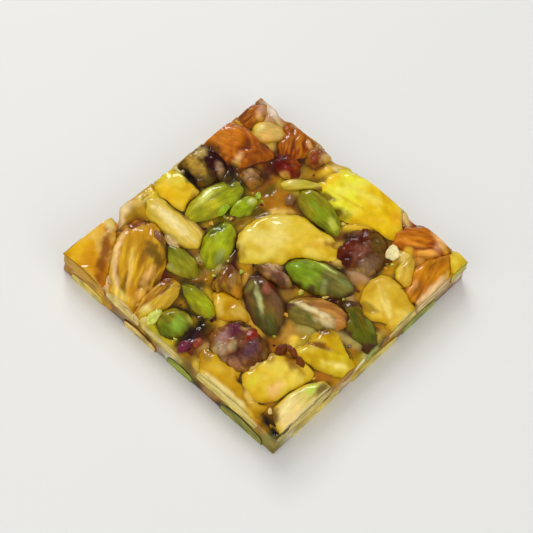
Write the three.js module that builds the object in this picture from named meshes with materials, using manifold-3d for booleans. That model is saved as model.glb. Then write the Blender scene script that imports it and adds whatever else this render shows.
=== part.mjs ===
// Dry fruit chikki: one knife-cut square of set sugar syrup, packed with halved and broken nuts.
// Millimetres, +Z up. The origin is the middle of the underside, and the sides lie along X and Y.
// The syrup is one slab with a pocket for each nut. The nuts lie in two layers: the upper ones show
// on the top, the lower ones on the underside, and both show where the knife cut the sides.
import * as THREE from 'three';
import { mergeVertices } from 'three/addons/utils/BufferGeometryUtils.js';
import Module from 'manifold-3d';

const wasm = await Module();
wasm.setup();

// Driving dimensions
const SIDE = 60;            // side of the square
const SYRUP_TOP = 6.7;      // mean level of the syrup between the nuts
const SYRUP_WAVE = 0.22;    // how far that level rises and falls
const EDGE_WAVE = 0.3;      // how far the cut sides wander
const PROUD = 0.5;          // how far a cut nut stands out of a side
const UPPER_FLOOR = 3.7;    // flat underside of the upper halves
const GAP = 0.3;            // clearance between a nut and whatever holds it
const SHOWN = 1.18;         // whole outline of a nut against the outline that stands clear of the syrup
const ROOT = 1;             // how far a nut reaches below its flat underside before that is cut
const TILT = 5;             // degrees that the nuts lean, each its own way
const CLEAR = 2;            // how far the blocks that cut reach past what they cut
const SLAB_CELLS = 10;      // cells along each side of the wavy slab
const TOP_SWELL = 17;       // length of one rise and fall of the top
const SIDE_SWELL = 20;      // the same along a cut side

// Section of a rolled nut from its underside to its top, as shares of its half width and its height
const DOME = [[0, 0], [1, 0], [0.96, 0.7], [0.68, 0.95], [0, 1]];
const SMALL_DOME = [[0, 0], [1, 0], [0.88, 0.74], [0.5, 1], [0, 1]];

// Sides of a nut's outline, by length times width in square millimetres
const OUTLINES = [
  { area: 130, sides: 13, section: DOME },
  { area: 60, sides: 10, section: DOME },
  { area: 0, sides: 8, section: SMALL_DOME },
];

// Colours and finish of each kind
const FINISH = {
  syrup: { color: 0xa8741c, roughness: 0.15 },
  cashew: { color: 0xe6bd3c, roughness: 0.3 },
  almond: { color: 0xb9671c, roughness: 0.35 },
  flesh: { color: 0xeedda2, roughness: 0.4 },
  pistachio: { color: 0x86a424, roughness: 0.3 },
  skin: { color: 0x6e3a44, roughness: 0.3 },
};

// Upper nuts, from the uppermost down: each one is cut away where it meets an earlier one.
// kind, x, y, direction in degrees, length and width of what shows, height of its top, bend
const UPPER_NUTS = [
  ['pistachio', 4.4, -10.9, -71, 14, 7.5, 7.7],
  ['pistachio', -9.3, -7.6, 58, 13.5, 7.6, 7.7],
  ['pistachio', 2.7, 17.7, -6, 14.5, 7.4, 7.6],
  ['pistachio', -4.9, 9.6, 25, 12, 6.6, 7.5],
  ['skin', 15.3, -13.2, 24, 12.2, 9.4, 7.6],
  ['skin', -20.2, -10.4, 90, 11.2, 10.6, 7.6],
  ['cashew', 6.3, 1.2, -47, 22, 13, 7.5, 0.6],
  ['almond', -22.6, 17.6, 216, 22, 11.4, 7.6],
  ['cashew', 25.4, -4, -88, 21.5, 12.2, 7.7, 0.3],
  ['flesh', -21.6, -27.7, 0, 14, 5.6, 7.6],
  ['almond', 26.7, -19.5, 123, 12.2, 7.8, 7.6],
  ['pistachio', -3.3, -17, -60, 12.8, 8, 7.5],
  ['flesh', -29.9, 1.6, 90, 12.5, 3.6, 5.8],
  ['pistachio', -25.9, 2.2, 0, 8, 7.4, 7.5],
  ['pistachio', -18.5, 2.4, 85, 10.6, 5, 7.4],
  ['pistachio', -14.9, 13.2, 98, 10.8, 6.2, 7.3],
  ['pistachio', 16.6, 0.3, 72, 13, 7.2, 7.5],
  ['flesh', -8.7, 20.8, 92, 16.5, 6.6, 7.5],
  ['flesh', 25.2, 22.9, -42, 8.6, 6.2, 7.3],
  ['almond', 16.7, 24.2, -62, 14.2, 10.8, 7.5],
  ['skin', 7.4, 25.3, 10, 10.8, 9.8, 7.4],
  ['cashew', -2.2, 25.8, 78, 11, 10, 7.3, 0.2],
  ['cashew', -20.3, -19.9, -28, 15, 10.5, 7.4, 0.3],
  ['cashew', -27, -16.2, 86, 19, 9, 7.2, 0.2],
  ['cashew', -8.7, -24.4, 180, 10.4, 12.4, 7.5, 1.15],
  ['cashew', 9.3, -24.6, 62, 12.6, 10.6, 7.4, 0.25],
  ['pistachio', 1.7, -24.2, 61, 12, 6.8, 7.2],
  ['flesh', 18.4, -22.4, 27, 9.8, 3.8, 7.4],
  ['almond', 19.2, -27.6, 6, 18.5, 8.2, 7.4],
  ['cashew', -15.2, -3.6, 82, 11, 6.8, 7.1, 0.2],
  ['almond', -10.9, 0.9, 38, 11, 6.2, 7.2],
  ['cashew', -26, 26.8, 31, 17, 11.2, 7.2, 0.2],
  ['almond', -24.6, 9.4, 176, 11.4, 6.4, 7.4],
  ['almond', 26.8, 17.2, 62, 9.6, 8, 7.2],
  ['skin', 21, 13.8, 40, 7.6, 7, 7.3],
  ['skin', 27.2, 10.9, 80, 6.6, 6.2, 7.2],
  ['pistachio', 5.8, 12.7, -4, 8.4, 4.8, 7.4],
  ['skin', 12.7, 16.5, 0, 6.2, 5.8, 7.1],
  ['skin', -2.7, -3.7, -83, 10.2, 4.6, 7.3],
  ['flesh', 19.8, 7.6, -53, 12.4, 3.4, 7.3],
  ['almond', 26, 28.1, 8, 8.6, 5, 7.2],
  ['cashew', 27.9, -28.1, 20, 6.4, 5.4, 7.1, 0.1],
  ['flesh', -0.4, -30.4, 0, 12.6, 3.4, 6.2],
];

// Lower nuts, in the same columns: the ones along the rim are those that the cut sides show.
const LOWER_NUTS = [
  ['cashew', -26, 24, 84, 15, 9, 2.7, 0.3],
  ['almond', -26.6, 9, 88, 14, 8, 2.7],
  ['pistachio', -27, -4, 90, 11, 7, 2.7],
  ['pistachio', -27, -22.4, 94, 13.5, 7.6, 2.7],
  ['cashew', -16.4, -27, 4, 15, 8, 2.7, 0.2],
  ['cashew', 0.4, -26.4, -6, 14, 8.8, 2.7, 0.3],
  ['pistachio', 16.6, -27, 3, 14, 7, 2.7],
  ['almond', 26.6, -16.6, 97, 17, 8.6, 2.7],
  ['pistachio', 26.6, 1, 82, 13, 7.4, 2.7],
  ['cashew', 26, 18, 95, 16, 9, 2.7, 0.3],
  ['almond', 11.6, 25.6, 174, 17, 9.4, 2.7],
  ['pistachio', -6.4, 26.4, 8, 13, 7.4, 2.7],
  ['almond', -13, 13.6, 48, 18, 10, 2.7],
  ['cashew', 9.6, 12, -24, 17, 11, 2.7, 0.5],
  ['cashew', -11.4, -11, 118, 17, 11, 2.7, 0.5],
  ['almond', 8.4, -12, 210, 18, 10, 2.7],
];

// The outline of each kind, from a point of the unit circle: the length runs along X.
const OUTLINE = {
  cashew: (x, y, bend) => [x, y * (1 - 0.16 * x) - bend * x * x],
  almond: (x, y) => [x, y * (1 - 0.34 * x - 0.12 * x * x)],
  flesh: (x, y) => [x, Math.max(y, -0.35) * (1 - 0.3 * x)],
  pistachio: (x, y) => [x, y * (1 - 0.14 * x * x)],
  skin: (x, y) => {
    const lump = 1 + 0.08 * Math.sin(5 * x + 2) * Math.cos(4 * y - 1);
    return [x * lump, y * lump];
  },
};

function toSolid(geometry) {
  geometry.deleteAttribute('normal');
  geometry.deleteAttribute('uv');
  const merged = mergeVertices(geometry, 1e-4);
  return new wasm.Manifold(new wasm.Mesh({
    numProp: 3,
    vertProperties: new Float32Array(merged.attributes.position.array),
    triVerts: new Uint32Array(merged.index.array),
  }));
}

function toGeometry(solid) {
  const mesh = solid.getMesh();
  const geometry = new THREE.BufferGeometry();
  geometry.setAttribute('position', new THREE.BufferAttribute(mesh.vertProperties, 3));
  geometry.setIndex(new THREE.BufferAttribute(mesh.triVerts, 1));
  return geometry;
}

function largestBody(solid) {
  return solid.decompose().sort((a, b) => b.volume() - a.volume())[0];
}

function block(side, low, high) {
  return toSolid(new THREE.BoxGeometry(side, side, high - low).translate(0, 0, (low + high) / 2));
}

// One nut in its place, or the pocket that it lies in, which is wider and deeper by grow.
function makeNut([kind, x, y, direction, length, width, top, bend = 0], low, grow) {
  const { sides, section } = OUTLINES.find(({ area }) => length * width >= area);
  const profile = section.map(([share, height]) => new THREE.Vector2(share, height));
  const geometry = new THREE.LatheGeometry(profile, sides);
  geometry.rotateX(Math.PI / 2);
  const at = geometry.attributes.position;
  for (let i = 0; i < at.count; i += 1) {
    const [px, py] = OUTLINE[kind](at.getX(i), at.getY(i), bend);
    at.setXY(i, px, py);
  }
  geometry.computeBoundingBox();
  const size = geometry.boundingBox.getSize(new THREE.Vector3());
  const middle = geometry.boundingBox.getCenter(new THREE.Vector3());
  const height = top - low + ROOT + grow;
  geometry.translate(-middle.x, -middle.y, -1);
  geometry.scale((length * SHOWN + 2 * grow) / size.x, (width * SHOWN + 2 * grow) / size.y, height);
  geometry.rotateX(THREE.MathUtils.degToRad(TILT * Math.sin(7 * x + 3 * y)));
  geometry.rotateY(THREE.MathUtils.degToRad(0.5 * TILT * Math.sin(5 * y - 2 * x)));
  geometry.rotateZ(THREE.MathUtils.degToRad(direction));
  geometry.translate(x, y, top + grow);
  return toSolid(geometry);
}

// A layer of nuts, each cut flat at low and by the knife, and kept clear of the earlier ones.
function makeLayer(nuts, low) {
  const room = block(SIDE + 2 * PROUD, low, SYRUP_TOP + CLEAR);
  const pocketRoom = block(SIDE + 2 * CLEAR, low - GAP, SYRUP_TOP + CLEAR);
  let taken = null;
  const layer = [];
  for (const nut of nuts) {
    let body = makeNut(nut, low, 0).intersect(room);
    if (taken) {
      body = body.subtract(taken);
    }
    layer.push({ kind: nut[0], body: largestBody(body) });
    const pocket = makeNut(nut, low, GAP).intersect(pocketRoom);
    taken = taken ? taken.add(pocket) : pocket;
  }
  return { layer, taken };
}

// An uneven wave between about -1 and 1, with one swell in every length millimetres
function ripple(x, y, length) {
  const turn = (2 * Math.PI) / length;
  return 0.65 * Math.sin(turn * x + 1) * Math.cos(0.85 * turn * y) + 0.35 * Math.sin(2 * turn * (x - 0.8 * y));
}

// The slab of syrup before its pockets: a flat base, wandering sides and an uneven top.
function makeSlab() {
  const slab = new THREE.BoxGeometry(SIDE, SIDE, SYRUP_TOP, SLAB_CELLS, SLAB_CELLS, 1);
  slab.translate(0, 0, SYRUP_TOP / 2);
  const at = slab.attributes.position;
  for (let i = 0; i < at.count; i += 1) {
    const x = at.getX(i);
    const y = at.getY(i);
    const z = at.getZ(i);
    const outX = (2 * x / SIDE) * EDGE_WAVE * ripple(y, 0, SIDE_SWELL);
    const outY = (2 * y / SIDE) * EDGE_WAVE * ripple(x, SIDE, SIDE_SWELL);
    const rise = z > SYRUP_TOP / 2 ? SYRUP_WAVE * ripple(x, y, TOP_SWELL) : 0;
    at.setXYZ(i, x + outX, y + outY, z + rise);
  }
  return toSolid(slab);
}

function addMesh(group, name, kind, solid) {
  const mesh = new THREE.Mesh(toGeometry(solid), new THREE.MeshStandardMaterial({
    ...FINISH[kind],
    metalness: 0,
  }));
  mesh.name = name;
  group.add(mesh);
}

const upper = makeLayer(UPPER_NUTS, UPPER_FLOOR);
const lower = makeLayer(LOWER_NUTS, 0);

const chikki = new THREE.Group();
chikki.name = 'dry_fruit_chikki';
addMesh(chikki, 'brittle', 'syrup', largestBody(makeSlab().subtract(upper.taken).subtract(lower.taken)));

for (const [prefix, nuts] of [['', upper.layer], ['lower_', lower.layer]]) {
  const count = {};
  for (const { kind, body } of nuts) {
    count[kind] = (count[kind] ?? 0) + 1;
    addMesh(chikki, `${prefix}${kind}_${String(count[kind]).padStart(2, '0')}`, kind, body);
  }
}

export default chikki;
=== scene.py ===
import math
import random

import bmesh
import bpy
import numpy as np
from mathutils import Matrix, Quaternion, Vector, noise
from mathutils.bvhtree import BVHTree


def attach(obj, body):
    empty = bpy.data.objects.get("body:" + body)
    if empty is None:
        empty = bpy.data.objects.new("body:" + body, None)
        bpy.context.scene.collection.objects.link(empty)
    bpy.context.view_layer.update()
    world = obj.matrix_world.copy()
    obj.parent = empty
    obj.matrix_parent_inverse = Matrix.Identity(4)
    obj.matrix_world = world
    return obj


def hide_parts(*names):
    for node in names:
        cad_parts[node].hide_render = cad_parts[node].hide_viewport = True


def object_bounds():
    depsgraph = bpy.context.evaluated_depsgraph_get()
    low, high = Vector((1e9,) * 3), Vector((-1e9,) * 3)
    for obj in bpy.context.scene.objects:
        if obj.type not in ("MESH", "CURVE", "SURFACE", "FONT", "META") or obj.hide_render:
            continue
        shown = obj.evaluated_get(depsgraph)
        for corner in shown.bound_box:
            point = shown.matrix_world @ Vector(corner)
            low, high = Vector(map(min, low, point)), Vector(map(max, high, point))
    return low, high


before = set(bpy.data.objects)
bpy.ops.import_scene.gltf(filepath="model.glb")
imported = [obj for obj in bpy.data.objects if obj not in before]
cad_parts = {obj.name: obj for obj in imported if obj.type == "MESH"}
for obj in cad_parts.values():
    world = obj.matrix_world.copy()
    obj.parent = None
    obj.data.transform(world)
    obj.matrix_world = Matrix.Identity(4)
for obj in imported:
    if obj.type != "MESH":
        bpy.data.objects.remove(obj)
cad_low, cad_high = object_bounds()
scene = bpy.context.scene
MM = 0.001

# The camera looks down over the near corner, from the photograph's side and height, and is turned a
# little about its own axis as the photograph is. Its long lens lets the one square fill the picture.
CAMERA_AT = Vector((-156.7, -108.5, 290.6)) * MM
CAMERA_AIM = Vector((0, 0, 3)) * MM
CAMERA_ROLL = math.radians(9.8)
LENS = 108.9

camera_data = bpy.data.cameras.new("camera")
camera_data.lens = LENS
camera_data.clip_start = 0.01
camera_data.clip_end = 10
camera = bpy.data.objects.new("camera", camera_data)
camera.location = CAMERA_AT
camera.rotation_mode = "QUATERNION"
upright = (CAMERA_AIM - CAMERA_AT).to_track_quat("-Z", "Y")
camera.rotation_quaternion = upright @ Quaternion((0, 0, 1), CAMERA_ROLL)
scene.collection.objects.link(camera)
scene.camera = camera

# The nuts were halved by hand, stirred into hot syrup and rolled flat, so each one is rounded on top
# and squared off only where the knife met it. Its form comes from its own solid, made even and soft.
KNIFE = cad_high.x - 0.05 * MM            # where the knife passed, from the middle
KNIFE_HEIGHT = 4 * MM                     # at this height above the board
KNIFE_WANDERS = 0.12 * MM                 # how far it strayed from one nut to the next
SPREAD = 0.06                             # how much further out it passed for each millimetre further down
TOUCHES_KNIFE = cad_high.x - 0.02 * MM    # a solid's points beyond this lie on a cut side
TOUCHES_BOARD = 0.02 * MM                 # and those of a lower nut below this on the underside
PAST_KNIFE = 1.6 * MM                     # a cut nut is made this much too large, and sliced when soft
CELL = 0.32 * MM                          # spacing of the points on a nut's skin
SOFTEN = 14                               # rounds of smoothing
SWELL = 0.15 * MM                         # what the smoothing took off, put back
RIM = 0.22 * MM                           # width of the skin that shows round a cut face
SLICE_STEP = 0.5 * MM                     # spacing of the points on a cut face
SLICE_ROUGHNESS = 0.1 * MM                # how far the knife tore it
SLICE_POLISH = 0.3                        # how glossy it is, where a skin has 1
MARKS_ABOVE = 4.5     # height in millimetres above which a nut has marks of its own
COAT = 0.15           # thickness of the syrup over a nut's top
SLOPE_COAT_AND_SHADE = 0.9      # how much thicker it is where it ran down the flanks, which also paints shade on them
SYRUP_LINE = 7.0      # below this height the slab's own syrup tints the nut as well,
LINE_DEPTH = 1.3      # as if it were this much thicker with each millimetre down
LOW = 3               # below this height, deep in the slab and on its underside,
LOW_COAT = 0.8        # a nut looks as under this much syrup
AMBER = Vector((0.88, 0.78, 0.13))    # what one millimetre of syrup lets through
CUT_COLOURS = {       # cut faces that the syrup stained, or that are paler than their kind's
    "cashew_06": "c08c20", "cashew_09": "cc9c2c", "cashew_10": "c4bc3c", "almond_04": "f0d0ac",
    "flesh_07": "f6eccc", "pistachio_06": "6c7c1c", "lower_pistachio_02": "989850",
}
nut_pieces = []


def linear(code):
    """The linear colour of a six-digit web colour."""
    parts = [int(code[i:i + 2], 16) / 255 for i in (0, 2, 4)]
    return Vector([p / 12.92 if p <= 0.04045 else ((p + 0.055) / 1.055) ** 2.4 for p in parts])


def ease(low, high, value):
    """0 at low and 1 at high, with a soft rise between."""
    t = min(max((value - low) / (high - low), 0), 1)
    return t * t * (3 - 2 * t)


def grainy(x, y, z, size):
    """Smooth noise between about -1 and 1, with lumps of the given size."""
    return noise.noise(Vector((x, y, z)) / size)


def through_syrup(colour, depth):
    """A colour as it looks under so many millimetres of syrup."""
    return Vector([c * a ** max(depth, 0) for c, a in zip(colour, AMBER)])


def marked(colour, spot, marks):
    """A colour with the oval marks that cover a spot laid over it, and how far they raise it.

    A mark is its place, direction, length, width, colour, strength and height in millimetres. Two
    noises make its outline ragged, and nothing of it shows past 1.9 times its half length or width."""
    height = 0
    for x, y, direction, length, width, code, strength, rise in marks:
        turn = math.radians(direction)
        dx, dy = spot[0] - x, spot[1] - y
        along = (dx * math.cos(turn) + dy * math.sin(turn)) / (length / 2)
        across = (dy * math.cos(turn) - dx * math.sin(turn)) / (width / 2)
        reach = math.hypot(along, across)
        if reach < 1.9:
            reach += 0.5 * grainy(spot[0], spot[1], x, 1.5) + 0.2 * grainy(spot[0], spot[1], y, 0.6)
            colour = colour.lerp(linear(code), strength * ease(1.35, 0.35, reach))
            height += rise * ease(1.1, 0.2, reach)
    return colour, height


def soft_solid(name):
    """A fresh object with the form of a node's solid, made of even cells and rounded off."""
    bm = bmesh.new()
    bm.from_mesh(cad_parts[name].data)
    bmesh.ops.remove_doubles(bm, verts=bm.verts, dist=0.001 * MM)
    pressed_flat = name.startswith("lower_")    # the lower nuts lay on the board under the roller
    for vert in bm.verts:
        for axis in (0, 1):
            if abs(vert.co[axis]) > TOUCHES_KNIFE:
                vert.co[axis] += math.copysign(PAST_KNIFE, vert.co[axis])
        if pressed_flat and vert.co.z < TOUCHES_BOARD:
            vert.co.z -= PAST_KNIFE
    mesh = bpy.data.meshes.new(name)
    bm.to_mesh(mesh)
    bm.free()
    piece = bpy.data.objects.new("nut_" + name, mesh)
    scene.collection.objects.link(piece)
    even = piece.modifiers.new("even", "REMESH")
    even.mode = "VOXEL"
    even.voxel_size = CELL
    soften = piece.modifiers.new("soften", "SMOOTH")
    soften.factor = 0.5
    soften.iterations = SOFTEN
    graph = bpy.context.evaluated_depsgraph_get()
    piece.data = bpy.data.meshes.new_from_object(piece.evaluated_get(graph))
    piece.modifiers.clear()
    bpy.data.meshes.remove(mesh)
    return piece


def add_layers(bm):
    """What a finish reads from each point: its tint, its gloss and its place in the mottling."""
    layers = bm.verts.layers
    return layers.float_color.new("tint"), layers.float.new("polish"), layers.float_vector.new("grain")


def cut_face_colour(flesh, spot, seed):
    """Bare flesh along the top of a cut side, smeared and soaked with dark syrup towards its foot, where
    streaks of painted shade darken it too.
    """
    spot = spot / MM
    smear = grainy(spot.x + seed, spot.y, 1.5 * spot.z, 2.2)
    streak = grainy(spot.x + spot.y, seed, 4 * spot.z, 3)
    fleck = grainy(spot.x, spot.y, 1.5 * spot.z + seed, 0.9)
    foot = ease(6.7, 4.3, spot.z + 0.8 * smear)
    wet = max(foot, 0.75 * ease(0.1, 0.5, smear))
    # amber of the syrup soaked in towards the foot, darkened there by streaks of painted shade
    soaked = through_syrup(flesh, 0.15 + 0.2 * foot) * (1 - 0.5 * foot * ease(-0.2, 0.4, streak))
    return flesh.lerp(soaked, 0.1 + 0.9 * wet) * (1 + 0.16 * fleck)


def slice_off(bm, point, outward, rim_width):
    """Cuts away what lies past a plane, closes it with a rough face, and gives that face's points."""
    whole = bm.verts[:] + bm.edges[:] + bm.faces[:]
    found = bmesh.ops.bisect_plane(bm, geom=whole, plane_co=point, plane_no=outward, clear_outer=True)
    edges = [part for part in found["geom_cut"] if isinstance(part, bmesh.types.BMEdge)]
    if not edges:
        return set()
    for edge in edges:
        edge.smooth = False
    caps = bmesh.ops.holes_fill(bm, edges=edges)["faces"]
    bmesh.ops.inset_region(bm, faces=caps, thickness=rim_width, use_even_offset=True)
    level = abs(outward.z) > 0.9
    sideways = Vector((1, 0, 0)) if level else Vector((-outward.y, outward.x, 0)).normalized()
    rim = {vert for face in caps for vert in face.verts}
    for way in (sideways, outward.cross(sideways)):
        reach = [vert.co.dot(way) for vert in rim]
        for step in range(math.ceil(min(reach) / SLICE_STEP), math.ceil(max(reach) / SLICE_STEP)):
            geom = list({part for face in caps for part in (face, *face.edges, *face.verts)})
            split = bmesh.ops.bisect_plane(bm, geom=geom, plane_co=way * step * SLICE_STEP, plane_no=way)
            caps = [part for part in split["geom"] if isinstance(part, bmesh.types.BMFace)]
    inner = {vert for face in caps for vert in face.verts}
    for vert in inner - rim:
        vert.co += outward * SLICE_ROUGHNESS * grainy(*(vert.co / MM), 1.1)
    return inner


def measure_in_plan(spots):
    """A nut's middle, its long and its short direction, and half its length and its width."""
    middle = spots.mean(axis=0)
    flat = spots[:, :2] - middle[:2]
    ways = np.linalg.eigh(flat.T @ flat)[1]
    length_way, width_way = ways[:, 1], ways[:, 0]
    return middle, length_way, width_way, np.abs(flat @ length_way).max(), np.abs(flat @ width_way).max()


def dress_nut(name, look, marks, finish, flesh, material, stretch=1, shine=1):
    """Makes the piece that stands for a nut's node, with flesh on its cut faces.

    At each point of the skin, finish gives the relief in millimetres and the colour, from the nut's
    look, the point, how far along and across the nut it lies from -1 to 1, its place from the middle
    and a number of the nut's own. Stretch draws the mottling out along the nut, and shine is its
    gloss."""
    flesh = linear(CUT_COLOURS.get(name, flesh))
    piece = soft_solid(name)
    bm = bmesh.new()
    bm.from_mesh(piece.data)
    tint, polish, grain = add_layers(bm)
    spots = np.array([vert.co for vert in bm.verts]) / MM
    middle, length_way, width_way, half_length, half_width = measure_in_plan(spots)
    seed = sum(ord(letter) * (i + 1) for i, letter in enumerate(name)) % 97

    def paint(vert):
        """Colours a point of the skin and gives how far its relief lifts it."""
        spot = vert.co / MM
        dx, dy = spot.x - middle[0], spot.y - middle[1]
        along = dx * length_way[0] + dy * length_way[1]
        across = dx * width_way[0] + dy * width_way[1]
        share = along / half_length
        side = across / (half_width * math.sqrt(max(1 - share * share, 0.12)))
        vert[grain] = (along / stretch, across, spot.z)
        vert[polish] = shine
        height, colour = finish(look, spot, share, side, (dx, dy), seed)
        rise = 0
        if spot.z > MARKS_ABOVE:
            colour, rise = marked(colour, spot, marks)
        depth = LOW_COAT
        if spot.z > LOW:
            # a thicker film on steep flanks: syrup that ran down, and painted shade on the flanks
            film = COAT + SLOPE_COAT_AND_SHADE * (1 - max(vert.normal.z, 0))
            depth = film + LINE_DEPTH * max(SYRUP_LINE - spot.z, 0)
        vert[tint] = (*through_syrup(colour, depth), 1)
        return height + rise

    bm.normal_update()
    moves = [vert.normal * (SWELL + paint(vert) * MM) for vert in bm.verts]
    for vert, move in zip(bm.verts, moves):
        vert.co += move
    for axis in (0, 1):
        for sign in (-1, 1):
            outward = Vector((0, 0, SPREAD))
            outward[axis] = sign
            edge = Vector((0, 0, KNIFE_HEIGHT))
            edge[axis] = sign * (KNIFE + KNIFE_WANDERS * math.sin(seed + 2 * axis + sign))
            for vert in slice_off(bm, edge, outward, RIM):
                vert[tint] = (*cut_face_colour(flesh, vert.co, seed), 1)
                vert[polish] = SLICE_POLISH
    for vert in slice_off(bm, Vector((0, 0, 0)), Vector((0, 0, -1)), 0.5 * RIM):
        vert.co.z = 0
        paint(vert)
    for face in bm.faces:
        face.smooth = True
    bm.to_mesh(piece.data)
    bm.free()
    piece.data.materials.clear()
    piece.data.materials.append(material)
    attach(piece, "root")
    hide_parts(name)
    nut_pieces.append(piece)


def two_toned(look, offset, spot, seed):
    """The nut's first colour passing into its second towards the direction that its look gives."""
    first, second, direction = linear(look[0]), linear(look[1]), math.radians(look[2])
    way = offset[0] * math.cos(direction) + offset[1] * math.sin(direction)
    way += 1.6 * grainy(spot[0], spot[1], seed, 2.2)
    return first.lerp(second, ease(-2.2, 2.2, way))


# A thin coat of the same syrup lies over every nut: it wets the skin, fills its pores and dries in
# slow ripples. Every finish below uses this one effect.
glaze = bpy.data.node_groups.new("glaze", "ShaderNodeTree")
for socket_name, value in (("Polish", 1), ("Texture", 0.5), ("Texture Height", 0.2), ("Ripple Scale", 450),
                           ("Ripple Height", 0.3), ("Dullest", 0.4)):
    socket = glaze.interface.new_socket(socket_name, in_out="INPUT", socket_type="NodeSocketFloat")
    socket.default_value = value
glaze.interface.new_socket("Roughness", in_out="OUTPUT", socket_type="NodeSocketFloat")
glaze.interface.new_socket("Normal", in_out="OUTPUT", socket_type="NodeSocketVector")


def set_inputs(node, values):
    """Sets inputs of a node, which are named as in from_min for From Min."""
    for name, value in values.items():
        node.inputs[name.replace("_", " ").title()].default_value = value


def add_node(tree, kind, **values):
    """A new shader node, with these inputs set."""
    node = tree.nodes.new("ShaderNode" + kind)
    set_inputs(node, values)
    return node


def join(tree, *pairs):
    """Links sockets in pairs: out of one node, into the next."""
    for out_socket, in_socket in pairs:
        tree.links.new(out_socket, in_socket)


inside = glaze.nodes.new("NodeGroupInput")
outside = glaze.nodes.new("NodeGroupOutput")
place = add_node(glaze, "TexCoord")
ripples = add_node(glaze, "TexNoise", detail=2)
wet = add_node(glaze, "MapRange", from_min=0.35, from_max=0.75, to_min=0.14)
torn = add_node(glaze, "MapRange", to_min=0.6)
ripple_bump = add_node(glaze, "Bump", distance=0.3 * MM)
texture_bump = add_node(glaze, "Bump", distance=0.3 * MM)
join(glaze,
     (place.outputs["Object"], ripples.inputs["Vector"]),
     (inside.outputs["Ripple Scale"], ripples.inputs["Scale"]),
     (inside.outputs["Ripple Height"], ripple_bump.inputs["Strength"]),
     (inside.outputs["Texture Height"], texture_bump.inputs["Strength"]),
     (inside.outputs["Dullest"], wet.inputs["To Max"]),
     (inside.outputs["Texture"], wet.inputs["Value"]),
     (inside.outputs["Polish"], torn.inputs["Value"]),
     (wet.outputs["Result"], torn.inputs["To Max"]),
     (ripples.outputs["Fac"], ripple_bump.inputs["Height"]),
     (inside.outputs["Texture"], texture_bump.inputs["Height"]),
     (texture_bump.outputs["Normal"], ripple_bump.inputs["Normal"]),
     (torn.outputs["Result"], outside.inputs["Roughness"]),
     (ripple_bump.outputs["Normal"], outside.inputs["Normal"]))


def glazed(name, mottle, mottle_size, glow, coat_roughness=0.06, **glaze_values):
    """A finish: the piece's painted tint, mottled by noise, under the glaze.

    The mottling lightens and darkens the tint by this share, in patches of this size in millimetres.
    The glow is how much light scatters inside the nut."""
    material = bpy.data.materials.new(name)
    material.use_nodes = True
    tree = material.node_tree
    shader = tree.nodes["Principled BSDF"]
    tint, polish, grain = [add_node(tree, "Attribute") for _ in range(3)]
    tint.attribute_name = "tint"
    polish.attribute_name = "polish"
    grain.attribute_name = "grain"
    speckle = add_node(tree, "TexNoise", scale=1 / mottle_size, detail=4)
    amount = add_node(tree, "MapRange", from_min=0.25, from_max=0.75, to_min=1 - mottle, to_max=1 + mottle)
    tone = add_node(tree, "VectorMath")
    tone.operation = "SCALE"
    coat = add_node(tree, "Group")
    coat.node_tree = glaze
    set_inputs(coat, glaze_values)
    join(tree,
         (grain.outputs["Vector"], speckle.inputs["Vector"]),
         (speckle.outputs["Fac"], amount.inputs["Value"]),
         (tint.outputs["Color"], tone.inputs[0]),
         (amount.outputs["Result"], tone.inputs["Scale"]),
         (tone.outputs["Vector"], shader.inputs["Base Color"]),
         (speckle.outputs["Fac"], coat.inputs["Texture"]),
         (polish.outputs["Fac"], coat.inputs["Polish"]),
         (polish.outputs["Fac"], shader.inputs["Coat Weight"]),
         (coat.outputs["Roughness"], shader.inputs["Roughness"]),
         (coat.outputs["Normal"], shader.inputs["Normal"]))
    shader.inputs["Coat Roughness"].default_value = coat_roughness
    shader.inputs["Coat IOR"].default_value = 1.45
    shader.inputs["Specular IOR Level"].default_value = 0.12
    shader.inputs["Subsurface Weight"].default_value = glow
    shader.inputs["Subsurface Scale"].default_value = 1.2 * MM
    shader.inputs["Subsurface Radius"].default_value = (1, 0.6, 0.25)
    return material


# Almonds: split lengthwise, in their orange-brown skins. The skin is drawn into ridges that run from
# end to end, with a painted highlight on their crests and painted shade between. A look is two colours
# and the direction in which the first passes into the second, the colour of the painted highlight on
# the ridges' crests, and 1 where the ridges run across the piece.
ALMONDS = {
    "almond_01": ("c58d06", "b27a04", -40, "dfb622", 0),
    "almond_02": ("b15a02", "a64a02", -60, "d38810", 0),
    "almond_03": ("b96401", "9d4b01", -90, "d17b02", 1),
    "almond_04": ("c07302", "c47d03", 0, "da940a", 0),
    "almond_05": ("7d5505", "855e08", 30, "ba8c0a", 0),
    "almond_06": ("a3670b", "c99e35", -90, "dfb937", 0),
    "almond_07": ("a85603", "863201", -120, "c78006", 0),
    "almond_08": ("9c5201", "8e4501", 0, "c27c08", 0),
    "lower_almond_01": ("7c4c0e", "6a3e0b", 90, "a8741c", 0),
    "lower_almond_02": ("8c5411", "74400a", 90, "b87c25", 0),
    "lower_almond_03": ("b06c14", "965812", 0, "d09830", 0),
    "lower_almond_04": ("b87417", "9a5a11", 45, "d8a239", 0),
    "lower_almond_05": ("a46414", "b87618", 20, "cf9632", 0),
}
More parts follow.
